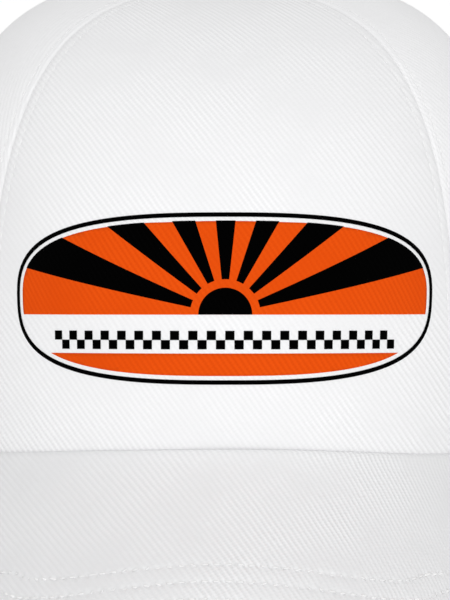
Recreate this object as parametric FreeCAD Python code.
import FreeCAD, Part
import math
import os

# A five-panel baseball cap with a one-piece front, a bent peak and a strap with a cam buckle.
# Lengths are millimetres. The cap is drawn as it is worn: the rim lies in the plane z = 0, the
# peak points to -Y and +X is the wearer's left. At the end it is laid on a table, where it rests
# on the two lower corners of the peak and on the buckle.

# Crown: an oval dome. A round share of 1 is an ellipse, and a smaller one has a fuller shoulder.
rim_front_length = 96.0
rim_back_length = 99.0
rim_half_width = 79.5
crown_height = 121.0
apex_setback = 3.0
front_round_share = 0.81
side_round_share = 0.53
back_round_share = 0.90
height_round_share = 1.03
panel_bulge = 1.4
bulge_start_share = 0.42
front_seam_angle = 52.6
front_seam_top_angle = 61.0
rear_seam_angle = 115.0
rear_seam_top_angle = 121.0
seam_lean_share = 2.1
seam_gap = 0.2
apex_hole_radius = 3.0

# Layers of cloth and what lies between them
twill_thickness = 0.9
backing_thickness = 0.5
backing_margin = 4.0
backing_top_radius = 16.0
tape_thickness = 0.5
tape_width = 14.0
tape_top_radius = 14.0
cloth_seat = 0.2
sweatband_height = 33.0
sweatband_thickness = 1.0
sweatband_lift = 0.6
sweatband_ease_angle = 30.0
sweatband_end_room = 12.0

# Peak: a flat board with a superellipse outline, bent round one axis that slopes forward
peak_slope_angle = 27.4
peak_bend_room = 6.2
peak_bend_radius = rim_half_width + peak_bend_room
peak_corner_height = 3.67
peak_length = 75.8
peak_side_overhang = 17.9
peak_half_width = rim_half_width + peak_side_overhang
peak_widest_setback = 6.3
peak_back_length = 45.0
peak_corner_share = 2.65
peak_tip_width = 3.0
edge_reach_share = 0.985
board_reach_share = 0.965
peak_cloth_thickness = 0.8
peak_board_thickness = 2.0
peak_edge_width = 1.2
peak_seat = 0.1
peak_board_play = 0.5
peak_crown_gap = 0.2

# Half-moon opening at the back, with a folded binding
opening_side_room = 34.5
opening_half_width = rim_half_width - opening_side_room
opening_height = 50.0
binding_width = 7.0
binding_thickness = 0.6
binding_seat = 0.2

# Sewn ventilation eyelets
eyelet_from_top = 68.0
eyelet_bore_radius = 1.6
eyelet_hole_radius = 2.6
eyelet_flange_radius = 4.4
eyelet_flange_thickness = 0.7
eyelet_round = 0.8
eyelet_seat = 0.25

# Covered button and the rivet that holds it
button_radius = 8.5
button_height = 4.2
button_edge = 1.2
button_seat = 0.3
stud_radius = 1.8
washer_radius = 6.5
washer_thickness = 0.8

# Closure strap, the tab that carries the buckle, and the buckle
strap_width = 18.0
strap_thickness = 0.8
strap_past_opening = 13.0
strap_dip_start = -20.0
strap_dip_end = 30.0
buckle_wall = 0.9
buckle_side_gap = 0.5
buckle_floor_start = -7.0
buckle_floor_end = 4.0
buckle_floor_depth = 1.2
bar_place = 7.5
bar_height = 1.6
bar_radius = 1.0
bar_boss_radius = 1.9
tab_fold_length = 9.0
tab_join = 38.0
pivot_place = -3.5
pivot_height = 2.9
pivot_radius = 0.8
pivot_clearance = 0.05
pivot_boss_radius = 2.0
pivot_end_inset = 0.1
lever_side_gap = 0.25
lever_thickness = 1.0
lever_end = 9.4
lever_lip = 0.8
cam_radius = 1.9
cam_nose = 2.6
cam_nose_width = 1.2

# How finely the formulas are sampled
fine_steps = 240
panel_rows = 22
front_columns = 9
side_columns = 9
tape_rows = 13
band_columns = 41
peak_columns = 25
peak_rows = 4
overrun = 5.0

ORIGIN = FreeCAD.Vector(0, 0, 0)
X_AXIS = FreeCAD.Vector(1, 0, 0)
Y_AXIS = FreeCAD.Vector(0, 1, 0)
Z_AXIS = FreeCAD.Vector(0, 0, 1)
QUARTER_TURN = math.pi / 2
AS_DRAWN = 1


# Shape of the dome
def roundness(theta):
    ahead = max(math.cos(theta), 0.0) ** 2
    behind = max(-math.cos(theta), 0.0) ** 2
    aside = 1 - ahead - behind
    return front_round_share * ahead + back_round_share * behind + side_round_share * aside


def rim_length(theta):
    return rim_front_length + (rim_back_length - rim_front_length) * (1 - math.cos(theta)) / 2


def rim_reach(theta):
    return math.hypot(rim_half_width * math.sin(theta), rim_length(theta) * math.cos(theta))


def dome_point(theta, phi):
    power = roundness(theta)
    ring = math.cos(phi) ** power
    x = rim_half_width * ring * math.sin(theta)
    y = -rim_length(theta) * ring * math.cos(theta) + apex_setback * (1 - ring)
    z = crown_height * math.sin(phi) ** (power * height_round_share)
    return FreeCAD.Vector(x, y, z)


def dome_normal(theta, phi):
    step = 1e-5
    low = max(phi - step, 0.0)
    along = dome_point(theta, phi + step) - dome_point(theta, low)
    across = dome_point(theta + step, phi) - dome_point(theta - step, phi)
    return across.cross(along).normalize()


def phi_at_height(theta, height):
    share = max(height, 0.0) / crown_height
    return math.asin(share ** (1 / (roundness(theta) * height_round_share)))


def phi_at_radius(theta, radius):
    return math.acos((radius / rim_reach(theta)) ** (1 / roundness(theta)))


def turn_for(theta, phi, distance):
    """The angle round the dome that covers a distance at that height."""
    return distance / (rim_reach(theta) * math.cos(phi) ** roundness(theta))


# Seam lines of the crown, each the angle from the front at a height angle phi
def lean(base, top, phi):
    return math.radians(base + (top - base) * (phi / QUARTER_TURN) ** seam_lean_share)


def front_seam(phi):
    return lean(front_seam_angle, front_seam_top_angle, phi)


def front_seam_mirrored(phi):
    return -front_seam(phi)


def rear_seam(phi):
    return lean(rear_seam_angle, rear_seam_top_angle, phi)


def back_seam(phi):
    return math.pi


def peak_drop(theta, radius, reach):
    """How far a bent sheet of that radius has fallen below its own crest at that place."""
    return peak_bend_radius - math.sqrt(radius ** 2 - ((rim_half_width + reach) * math.sin(theta)) ** 2)


def peak_fall(theta):
    """How far the peak's upper side has fallen below its crest where it meets the crown."""
    slope = math.radians(peak_slope_angle)
    forward = rim_front_length - rim_length(theta) * math.cos(theta)
    return peak_drop(theta, peak_bend_radius, 0.0) / math.cos(slope) - forward * math.tan(slope)


def peak_crest_height():
    """Height of the crest at the crown, with the peak's corners at their height at the front seams."""
    return peak_corner_height + peak_fall(math.radians(front_seam_angle))


def lower_edge(theta):
    """Height of the crown's edge: behind the peak it follows the seam, elsewhere it is the rim."""
    if abs(theta) >= math.radians(front_seam_angle):
        return 0.0
    return peak_fall(math.radians(front_seam_angle)) - peak_fall(theta)


# Grids on the dome
def meridian(angle_at, low, high, rows):
    """Evenly spaced height angles along the line whose angle from the front is angle_at(phi)."""
    fine = [low + (high - low) * (i / fine_steps) ** 2 for i in range(fine_steps + 1)]
    points = [dome_point(angle_at(phi), phi) for phi in fine]
    run = [0.0]
    for first, second in zip(points, points[1:]):
        run.append(run[-1] + first.distanceToPoint(second))
    places = []
    k = 0
    for row in range(rows):
        goal = run[-1] * row / (rows - 1)
        while k < fine_steps - 1 and run[k + 1] < goal:
            k += 1
        part = (goal - run[k]) / (run[k + 1] - run[k])
        places.append(fine[k] + (fine[k + 1] - fine[k]) * part)
    return places


def bulge(share, phi, theta):
    """How far a panel swells out between its seams."""
    height = dome_point(theta, phi).z / crown_height
    rise = max(height - bulge_start_share, 0.0) / (1 - bulge_start_share)
    return panel_bulge * (1 - (2 * share - 1) ** 2) * math.sin(math.pi * rise) ** 2


def panel_place(start, end, margin, share, phi):
    """The angle at a share of the way from one seam to the next, inside a margin."""
    first = start(phi)
    last = end(phi)
    first += turn_for(first, phi, margin)
    last -= turn_for(last, phi, margin)
    return first + (last - first) * share


def panel_solid(start, end, margin, top_radius, depth, thickness, swell, columns):
    outer = []
    inner = []
    for column in range(columns):
        share = column / (columns - 1)

        def angle_at(phi):
            return panel_place(start, end, margin, share, phi)

        base = angle_at(0.0)
        low = phi_at_height(base, lower_edge(base))
        high = phi_at_radius(angle_at(QUARTER_TURN - 0.001), top_radius)
        outer_line = []
        inner_line = []
        for phi in meridian(angle_at, low, high, panel_rows):
            theta = angle_at(phi)
            normal = dome_normal(theta, phi)
            place = dome_point(theta, phi) + normal * (swell * bulge(share, phi, theta) - depth)
            outer_line.append(place)
            inner_line.append(place - normal * thickness)
        outer.append(outer_line)
        inner.append(inner_line)
    return solid_between(outer, inner)


def surface_through(grid):
    surface = Part.BSplineSurface()
    surface.interpolate(grid)
    return surface


def borders(surface):
    """The four edges of a surface: first and last line of the grid, then first and last row."""
    u_first, u_last, v_first, v_last = surface.bounds()
    return [surface.uIso(u_first).toShape(), surface.uIso(u_last).toShape(),
            surface.vIso(v_first).toShape(), surface.vIso(v_last).toShape()]


def solid_between(outer, inner):
    """A closed solid between two grids of points, with ruled edges."""
    surfaces = [surface_through(outer), surface_through(inner)]
    faces = [surface.toShape() for surface in surfaces]
    for first, second in zip(borders(surfaces[0]), borders(surfaces[1])):
        faces.append(Part.makeRuledSurface(first, second, AS_DRAWN))
    return closed(faces)


def closed(faces):
    """One solid from faces whose edges meet."""
    skin = Part.makeCompound(faces)
    skin.sewShape()
    solid = Part.Solid(Part.Shell(skin.Faces))
    if solid.Volume < 0:
        solid.reverse()
    return solid


def mirrored(shape):
    return shape.mirror(ORIGIN, X_AXIS)


# Crown pieces
def front_panel():
    return panel_solid(front_seam_mirrored, front_seam, seam_gap / 2, apex_hole_radius,
                       0.0, twill_thickness, 0, front_columns)


def front_backing():
    return panel_solid(front_seam_mirrored, front_seam, backing_margin, backing_top_radius,
                       twill_thickness + cloth_seat, backing_thickness, 0, front_columns)


def side_panel():
    return panel_solid(front_seam, rear_seam, seam_gap / 2, apex_hole_radius,
                       0.0, twill_thickness, 1, side_columns)


def rear_panel():
    panel = panel_solid(rear_seam, back_seam, seam_gap / 2, apex_hole_radius,
                        0.0, twill_thickness, 1, side_columns)
    return panel.cut(opening_prism())


def opening_prism():
    """The half-moon, an upright half ellipse run through the back of the crown."""
    disc = Part.Face(Part.Wire(Part.Circle(ORIGIN, Y_AXIS, 1).toShape()))
    stretch = FreeCAD.Matrix()
    stretch.scale(opening_half_width, 1, opening_height)
    return disc.transformGeometry(stretch).extrude(Y_AXIS * (rim_back_length + overrun))


def tape(seam, low_height, depth):
    """A ribbon centred on a seam, inside the crown."""
    outer = []
    inner = []
    for share in (-0.5, -0.17, 0.17, 0.5):

        def angle_at(phi):
            theta = seam(phi)
            return theta + turn_for(theta, phi, share * tape_width)

        low = phi_at_height(angle_at(0.0), low_height)
        high = phi_at_radius(seam(QUARTER_TURN), tape_top_radius)
        outer_line = []
        inner_line = []
        for phi in meridian(angle_at, low, high, tape_rows):
            theta = angle_at(phi)
            normal = dome_normal(theta, phi)
            place = dome_point(theta, phi) - normal * depth
            outer_line.append(place)
            inner_line.append(place - normal * tape_thickness)
        outer.append(outer_line)
        inner.append(inner_line)
    return solid_between(outer, inner)


def sweatband():
    """The band round the inside of the rim, from one side of the opening to the other."""
    thin_depth = tape_depth_front() + tape_thickness + cloth_seat
    deep_depth = free_end_depth() + strap_thickness + wall_lean() + cloth_seat
    end = math.pi - math.asin((opening_half_width + 2 * binding_thickness) / rim_half_width)
    strap_end = opening_half_width + strap_past_opening
    deep = math.pi - math.asin((strap_end + sweatband_end_room) / rim_half_width)
    ease = math.radians(sweatband_ease_angle)
    outer = []
    inner = []
    for column in range(band_columns):
        theta = end * (2 * column / (band_columns - 1) - 1)
        depth = thin_depth + (deep_depth - thin_depth) * smooth((abs(theta) - deep + ease) / ease)
        outer_line = []
        inner_line = []
        for row in range(4):
            height = lower_edge(theta) + sweatband_lift + sweatband_height * row / 3
            phi = phi_at_height(theta, height)
            normal = dome_normal(theta, phi)
            place = dome_point(theta, phi) - normal * depth
            outer_line.append(place)
            inner_line.append(place - normal * sweatband_thickness)
        outer.append(outer_line)
        inner.append(inner_line)
    return solid_between(outer, inner)


def smooth(share):
    share = min(max(share, 0.0), 1.0)
    return share * share * (3 - 2 * share)


def tape_depth_front():
    return twill_thickness + backing_thickness + 2 * cloth_seat


# Half-moon binding
def back_place(x, z):
    """The dome's angles behind the point (x, z) of the back view."""
    theta = math.pi
    for _ in range(40):
        phi = phi_at_height(theta, z)
        ring = math.cos(phi) ** roundness(theta)
        theta = math.pi - math.asin(x / (rim_half_width * ring))
    return theta, phi_at_height(theta, z)


def binding():
    """A strip folded round the edge of the half-moon: rails with ruled faces between."""
    near = -binding_seat
    nose = near - binding_thickness
    top = binding_seat
    bottom = -twill_thickness - binding_seat
    half = binding_width / 2
    section = [(binding_width, top), (binding_width, top + binding_thickness),
               (half, top + binding_thickness), (nose, top + binding_thickness),
               (nose, bottom - binding_thickness), (half, bottom - binding_thickness),
               (binding_width, bottom - binding_thickness), (binding_width, bottom),
               (half, bottom), (near, bottom), (near, top), (half, top)]
    stations = 33
    rails = []
    for reach, lift in section:
        rail = []
        for i in range(stations):
            turn = math.pi * i / (stations - 1)
            side = math.cos(turn)
            up = math.sin(turn)
            size = math.hypot(side / opening_half_width, up / opening_height)
            x = opening_half_width * side + reach * side / opening_half_width / size
            z = opening_height * up + reach * up / opening_height / size
            normal = dome_normal(*back_place(x, z))
            theta, phi = back_place(x - normal.x * lift, max(z - normal.z * lift, 0.0))
            rail.append(dome_point(theta, phi) + normal * lift)
        rails.append(rail)
    return ruled_tube(rails)


def ruled_tube(rails):
    curves = []
    for rail in rails:
        curve = Part.BSplineCurve()
        curve.interpolate(rail)
        curves.append(curve.toShape())
    faces = []
    for first, second in zip(curves, curves[1:] + curves[:1]):
        faces.append(Part.makeRuledSurface(first, second, AS_DRAWN))
    for end in (0, -1):
        corners = [rail[end] for rail in rails]
        faces.append(Part.Face(Part.makePolygon(corners + corners[:1])))
    return closed(faces)


# Peak
def peak_point(w, forward, depth):
    """A point of the bent sheet from its flat place: w across it, forward along its crest."""
    slope = math.radians(peak_slope_angle)
    turn = w / peak_bend_radius
    radius = peak_bend_radius - depth
    drop = peak_bend_radius - radius * math.cos(turn)
    y = -rim_front_length - forward * math.cos(slope) + drop * math.sin(slope)
    z = peak_crest_height() - forward * math.sin(slope) - drop * math.cos(slope)
    return FreeCAD.Vector(radius * math.sin(turn), y, z)


def peak_seam_place(theta, depth, reach):
    """Where the sheet at that depth meets the crown's oval, in the flat."""
    slope = math.radians(peak_slope_angle)
    radius = peak_bend_radius - depth
    turn = math.asin((rim_half_width + reach) * math.sin(theta) / radius)
    drop = peak_bend_radius - radius * math.cos(turn)
    y = -(rim_length(theta) + reach) * math.cos(theta)
    return peak_bend_radius * turn, (-rim_front_length - y + drop * math.sin(slope)) / math.cos(slope)


def peak_outline(psi, inset):
    """The flat outline at an angle from straight ahead, moved in by an inset."""
    def edge(angle):
        length = peak_length + peak_widest_setback if math.cos(angle) > 0 else peak_back_length
        across = abs(math.sin(angle) / peak_half_width) ** peak_corner_share
        ahead = abs(math.cos(angle) / length) ** peak_corner_share
        size = (across + ahead) ** (-1 / peak_corner_share)
        return size * math.sin(angle), size * math.cos(angle) - peak_widest_setback

    step = 1e-3
    w, forward = edge(psi)
    w_next, forward_next = edge(psi + step)
    w_last, forward_last = edge(psi - step)
    run = math.hypot(w_next - w_last, forward_next - forward_last)
    w += inset * (forward_next - forward_last) / run
    forward -= inset * (w_next - w_last) / run
    return w, forward


def peak_tip(depth):
    """Half angles of a layer's ends: round the crown, and round the flat outline."""
    low = math.radians(front_seam_angle - 10)
    high = math.radians(front_seam_angle + 20)
    for _ in range(60):
        theta = (low + high) / 2
        w, seam_forward = peak_seam_place(theta, depth, peak_crown_gap)
        share = (w / peak_half_width) ** peak_corner_share
        edge = -peak_widest_setback
        edge -= peak_back_length * max(1 - share, 0.0) ** (1 / peak_corner_share)
        if edge - seam_forward < peak_tip_width:
            low = theta
        else:
            high = theta
    psi = math.atan2(w, edge + peak_widest_setback)
    return theta, psi


def peak_grid(depth, inset, reach, reach_share):
    """Points of the bent sheet at one depth, from tip to tip and from the seam to the outline."""
    tip_theta, tip_psi = peak_tip(depth)
    grid = []
    for column in range(peak_columns):
        share = reach_share * (2 * column / (peak_columns - 1) - 1)
        w_seam, forward_seam = peak_seam_place(share * tip_theta, depth, reach)
        w_edge, forward_edge = peak_outline(share * tip_psi, inset)
        line = []
        for row in range(peak_rows):
            part = row / (peak_rows - 1)
            w = w_seam + (w_edge - w_seam) * part
            forward = forward_seam + (forward_edge - forward_seam) * part
            line.append(peak_point(w, forward, depth))
        grid.append(line)
    return grid


def peak_thickness():
    return 2 * peak_cloth_thickness + peak_board_thickness + 2 * peak_seat


def peak_layer(top, thickness, inset, reach, reach_share):
    return solid_between(peak_grid(top, inset, reach, reach_share),
                         peak_grid(top + thickness, inset, reach, reach_share))


def peak_board():
    return peak_layer(peak_cloth_thickness + peak_seat, peak_board_thickness,
                      peak_edge_width + peak_board_play, peak_crown_gap + peak_seat, board_reach_share)


def peak_top_cloth():
    return peak_layer(0.0, peak_cloth_thickness, 0.0, peak_crown_gap, 1.0)


def peak_under_cloth():
    return peak_layer(peak_thickness() - peak_cloth_thickness, peak_cloth_thickness, 0.0, peak_crown_gap, 1.0)


def peak_edge_seam():
    """The turned-in edges of the two cloths, a strip that closes the peak round the board."""
    top = peak_cloth_thickness + peak_seat
    stations = 2 * peak_columns
    layers = []
    for depth in (top, peak_thickness() - top):
        grid = []
        for i in range(stations + 1):
            psi = edge_reach_share * peak_tip(depth)[1] * (2 * i / stations - 1)
            grid.append([peak_point(*peak_outline(psi, peak_edge_width * share), depth) for share in (1, 0.5, 0)])
        layers.append(grid)
    return solid_between(*layers)


# Eyelets and button
def eyelet_spot(start, end):
    """Centre and outward direction of a panel's eyelet."""
    def place(share, phi):
        theta = panel_place(start, end, seam_gap / 2, share, phi)
        return dome_point(theta, phi) + dome_normal(theta, phi) * bulge(share, phi, theta)

    phi = phi_at_radius(panel_place(start, end, 0.0, 0.5, QUARTER_TURN / 2), eyelet_from_top)
    step = 1e-3
    across = place(0.5 + step, phi) - place(0.5 - step, phi)
    along = place(0.5, phi + step) - place(0.5, phi - step)
    return place(0.5, phi), across.cross(along).normalize()


def at_spot(shape, spot):
    centre, direction = spot
    shape.Placement = FreeCAD.Placement(centre, FreeCAD.Rotation(Z_AXIS, direction))
    return shape


def eyelet_hole():
    return Part.makeCylinder(eyelet_hole_radius, 2 * overrun, Z_AXIS * -overrun)


def eyelet():
    """A ring of thread: a neck through the cloth with a domed flange on each side."""
    neck = eyelet_hole_radius - binding_seat
    inside = eyelet_bore_radius + eyelet_round
    outside = eyelet_flange_radius - eyelet_round
    top = eyelet_seat + eyelet_flange_thickness
    low = -twill_thickness
    profile = [(eyelet_bore_radius, eyelet_seat), (inside, top), (outside, top),
               (eyelet_flange_radius, eyelet_seat), (neck, eyelet_seat), (neck, low - eyelet_seat),
               (eyelet_flange_radius, low - eyelet_seat), (outside, low - top),
               (inside, low - top), (eyelet_bore_radius, low - eyelet_seat)]
    corners = [FreeCAD.Vector(radius, 0, height) for radius, height in profile]
    return Part.Face(Part.makePolygon(corners + corners[:1])).revolve(ORIGIN, Z_AXIS, 360)


def top_button():
    """A domed, cloth-covered button with a rolled edge, hollow underneath round its stud."""
    base = crown_height + button_seat

    def at(radius, height):
        return FreeCAD.Vector(radius, 0, base + height)

    dome = button_height - button_edge / 2
    ball = (button_radius ** 2 + dome ** 2) / (2 * dome)
    half_turn = math.asin(button_radius / ball) / 2
    crest = at(0, button_height)
    shoulder = at(ball * math.sin(half_turn), button_height - ball + ball * math.cos(half_turn))
    side = at(button_radius, button_edge / 2)
    foot = at(button_radius - button_edge / 2, 0)
    edges = [Part.makeLine(at(0, 0), crest),
             Part.Arc(crest, shoulder, side).toShape(),
             Part.makeLine(side, foot),
             Part.makeLine(foot, at(0, 0))]
    button = Part.Face(Part.Wire(edges)).revolve(ORIGIN, Z_AXIS, 360)
    button.translate(Y_AXIS * apex_setback)
    return button


def button_stud():
    """The rivet under the button, with its washer inside the crown."""
    washer_top = crown_height - twill_thickness - button_seat
    length = crown_height + button_seat - washer_top
    stud = Part.makeCylinder(stud_radius, length, FreeCAD.Vector(0, apex_setback, washer_top))
    washer = Part.makeCylinder(washer_radius, washer_thickness,
                               FreeCAD.Vector(0, apex_setback, washer_top - washer_thickness))
    return stud.fuse(washer).removeSplitter()


# Closure
def strap_low():
    return buckle_wall + buckle_side_gap


def strap_high():
    return strap_low() + strap_width


def sewn_depth():
    """Depth of the outer face of what is sewn inside the binding."""
    return twill_thickness + binding_seat + binding_thickness + cloth_seat


def free_end_depth():
    return sewn_depth() + strap_thickness + cloth_seat


def oval_at(x):
    """The back wall of the crown at the strap's upper edge, in the plan view."""
    theta, phi = back_place(x, strap_high())
    return dome_point(theta, phi), dome_normal(theta, phi)


def plan_point(x, depth):
    place, normal = oval_at(x)
    flat = FreeCAD.Vector(normal.x, normal.y, 0).normalize()
    return FreeCAD.Vector(place.x, place.y, 0) - flat * depth


def wall_lean():
    """How far the crown's back wall comes in between the rim and the strap's upper edge."""
    return dome_point(math.pi, 0.0).y - dome_point(*back_place(0.0, strap_high())).y


def strap_depth(x):
    share = smooth((x - strap_dip_start) / (strap_dip_end - strap_dip_start))
    return sewn_depth() + (free_end_depth() - sewn_depth()) * share


def strap_face_y():
    """Where the strap's outer face lies in the middle of the back."""
    return plan_point(0.0, strap_depth(0.0)).y


def plan_band(points, thickness):
    """An upright strip whose plan follows the points, with half its thickness on each side."""
    sides = [[], []]
    for i, point in enumerate(points):
        along = points[min(i + 1, len(points) - 1)] - points[max(i - 1, 0)]
        normal = FreeCAD.Vector(-along.y, along.x, 0).normalize()
        sides[0].append(point + normal * thickness / 2)
        sides[1].append(point - normal * thickness / 2)
    edges = []
    for side in sides:
        curve = Part.BSplineCurve()
        curve.interpolate(side)
        edges.append(curve.toShape())
    edges.append(Part.makeLine(sides[0][0], sides[1][0]))
    edges.append(Part.makeLine(sides[0][-1], sides[1][-1]))
    face = Part.Face(Part.Wire(Part.__sortEdges__(edges)))
    face.translate(Z_AXIS * strap_low())
    return face.extrude(Z_AXIS * strap_width)


def closure_strap():
    """Sewn in on the wearer's right, through the buckle, its free end tucked in on the left."""
    reach = opening_half_width + strap_past_opening
    stations = 25
    points = []
    for i in range(stations):
        x = reach * (2 * i / (stations - 1) - 1)
        points.append(plan_point(x, strap_depth(x) + strap_thickness / 2))
    return plan_band(points, strap_thickness)


def buckle_tab():
    """Sewn in on the wearer's left, folded round the buckle's bar and back on itself."""
    middle = strap_thickness / 2
    loop = bar_radius + cloth_seat + middle
    bar_y = strap_face_y() + bar_height
    start_depth = oval_at(bar_place)[0].y - bar_y - loop
    end_depth = sewn_depth() + middle
    reach = opening_half_width + strap_past_opening

    def outer_layer(x):
        share = smooth((x - bar_place) / (tab_join - bar_place))
        return plan_point(x, start_depth + (end_depth - start_depth) * share)

    points = []
    stations = 12
    for i in range(stations):
        points.append(outer_layer(reach + (bar_place - reach) * i / stations))
    for i in range(7):
        turn = QUARTER_TURN + math.pi * i / 6
        points.append(FreeCAD.Vector(bar_place + loop * math.cos(turn),
                                     bar_y + loop * math.sin(turn), 0))
    fold_end = outer_layer(bar_place + tab_fold_length)
    fold_end.y -= strap_thickness + cloth_seat
    points.append((points[-1] + fold_end) / 2)
    points.append(fold_end)
    return plan_band(points, strap_thickness)


def buckle_width():
    return strap_width + 2 * (buckle_side_gap + buckle_wall)


def plan_prism(points, low, height):
    corners = [FreeCAD.Vector(x, strap_face_y() + y, low) for x, y in points]
    return Part.Face(Part.makePolygon(corners + corners[:1])).extrude(Z_AXIS * height)


def upright(x, y, radius, low, height):
    return Part.makeCylinder(radius, height, FreeCAD.Vector(x, strap_face_y() + y, low))


def buckle_frame():
    """A bent metal plate: a floor, two ears with the pivot's holes and a bar for the tab."""
    floor_top = -buckle_floor_depth
    floor_bottom = floor_top - buckle_wall
    ear = [(buckle_floor_start, floor_bottom), (buckle_floor_end, floor_bottom),
           (bar_place, bar_height - bar_boss_radius), (bar_place, bar_height + bar_boss_radius),
           (pivot_place, pivot_height + pivot_boss_radius),
           (pivot_place - pivot_boss_radius, pivot_height), (buckle_floor_start, floor_top)]
    floor = [(buckle_floor_start, floor_bottom), (buckle_floor_end, floor_bottom),
             (buckle_floor_end, floor_top), (buckle_floor_start, floor_top)]
    pieces = [plan_prism(floor, 0.0, buckle_width()),
              upright(bar_place, bar_height, bar_radius, 0.0, buckle_width())]
    for low in (0.0, buckle_width() - buckle_wall):
        pieces.append(plan_prism(ear, low, buckle_wall))
        pieces.append(upright(bar_place, bar_height, bar_boss_radius, low, buckle_wall))
        pieces.append(upright(pivot_place, pivot_height, pivot_boss_radius, low, buckle_wall))
    frame = pieces[0].multiFuse(pieces[1:]).removeSplitter()
    hole = upright(pivot_place, pivot_height, pivot_radius + pivot_clearance, -overrun,
                   buckle_width() + 2 * overrun)
    return frame.cut(hole)


def buckle_lever():
    """The cam lever: a head with a nose over the strap, a cover plate, and its two pivot pins."""
    low = buckle_wall + lever_side_gap
    height = buckle_width() - 2 * low
    top = pivot_height + cam_radius
    under = top - lever_thickness
    plate = [(pivot_place, under), (pivot_place, top), (lever_end - lever_lip, top),
             (lever_end, top + lever_lip), (lever_end, top + lever_lip - lever_thickness),
             (lever_end - lever_lip, under)]
    nose = [(pivot_place - cam_nose_width / 2, pivot_height),
            (pivot_place - cam_nose_width / 2, pivot_height - cam_nose),
            (pivot_place + cam_nose_width / 2, pivot_height - cam_nose),
            (pivot_place + cam_radius, pivot_height)]
    head = upright(pivot_place, pivot_height, cam_radius, low, height)
    pins = upright(pivot_place, pivot_height, pivot_radius, pivot_end_inset,
                   buckle_width() - 2 * pivot_end_inset)
    return head.multiFuse([plan_prism(plate, low, height), plan_prism(nose, low, height),
                           pins]).removeSplitter()


# The whole cap
def build_nodes():
    nodes = {}
    nodes["front_panel"] = front_panel()
    nodes["front_backing"] = front_backing()
    spots = {"side": eyelet_spot(front_seam, rear_seam), "rear": eyelet_spot(rear_seam, back_seam)}
    panels = {"side": side_panel(), "rear": rear_panel()}
    for place, spot in spots.items():
        panel = panels[place].cut(at_spot(eyelet_hole(), spot))
        ring = at_spot(eyelet(), spot)
        nodes[place + "_panel_left"] = panel
        nodes[place + "_panel_right"] = mirrored(panel)
        nodes["eyelet_" + place + "_left"] = ring
        nodes["eyelet_" + place + "_right"] = mirrored(ring)
    front_tape = tape(front_seam, sweatband_lift, tape_depth_front())
    rear_tape = tape(rear_seam, sweatband_lift, twill_thickness + cloth_seat)
    nodes["seam_tape_front_left"] = front_tape
    nodes["seam_tape_front_right"] = mirrored(front_tape)
    nodes["seam_tape_rear_left"] = rear_tape
    nodes["seam_tape_rear_right"] = mirrored(rear_tape)
    nodes["seam_tape_back"] = tape(back_seam, opening_height + binding_width + sweatband_lift,
                                   twill_thickness + cloth_seat)
    nodes["sweatband"] = sweatband()
    nodes["rear_opening_binding"] = binding()
    nodes["peak_board"] = peak_board()
    nodes["peak_top_cloth"] = peak_top_cloth()
    nodes["peak_under_cloth"] = peak_under_cloth()
    nodes["peak_edge_seam"] = peak_edge_seam()
    nodes["top_button"] = top_button()
    nodes["button_stud"] = button_stud()
    nodes["closure_strap"] = closure_strap()
    nodes["buckle_tab"] = buckle_tab()
    nodes["buckle_frame"] = buckle_frame()
    nodes["buckle_lever"] = buckle_lever()
    return nodes


def table_tilt():
    """The lean at which the peak's corners and the buckle touch the same table."""
    tip_psi = peak_tip(peak_thickness())[1]
    samples = [peak_point(*peak_outline(tip_psi * i / fine_steps, 0.0), peak_thickness())
               for i in range(fine_steps)]
    buckle_y = strap_face_y() + pivot_height + pivot_boss_radius
    low = 0.0
    high = math.radians(peak_slope_angle)
    for _ in range(60):
        tilt = (low + high) / 2
        peak_low = min(p.z * math.cos(tilt) - p.y * math.sin(tilt) for p in samples)
        if peak_low < -buckle_y * math.sin(tilt):
            low = tilt
        else:
            high = tilt
    return math.degrees(tilt)


os.makedirs("parts", exist_ok=True)
cap = build_nodes()
tilt = table_tilt()
for shape in cap.values():
    shape.rotate(ORIGIN, X_AXIS, -tilt)
box = Part.makeCompound(list(cap.values())).optimalBoundingBox()
shift = FreeCAD.Vector(-box.Center.x, -box.Center.y, -box.ZMin)
for name, shape in cap.items():
    shape.translate(shift)
    shape.exportStep("parts/" + name + ".step")
turn = FreeCAD.Rotation(X_AXIS, -tilt)
pivot = FreeCAD.Vector(pivot_place, strap_face_y() + pivot_height, buckle_width() / 2)
print("tilt", round(tilt, 4), "size", round(box.XLength, 2), round(box.YLength, 2), round(box.ZLength, 2))
print("lever pivot", [round(v, 4) for v in turn.multVec(pivot) + shift])
print("lever axis", [round(v, 6) for v in turn.multVec(Z_AXIS)])
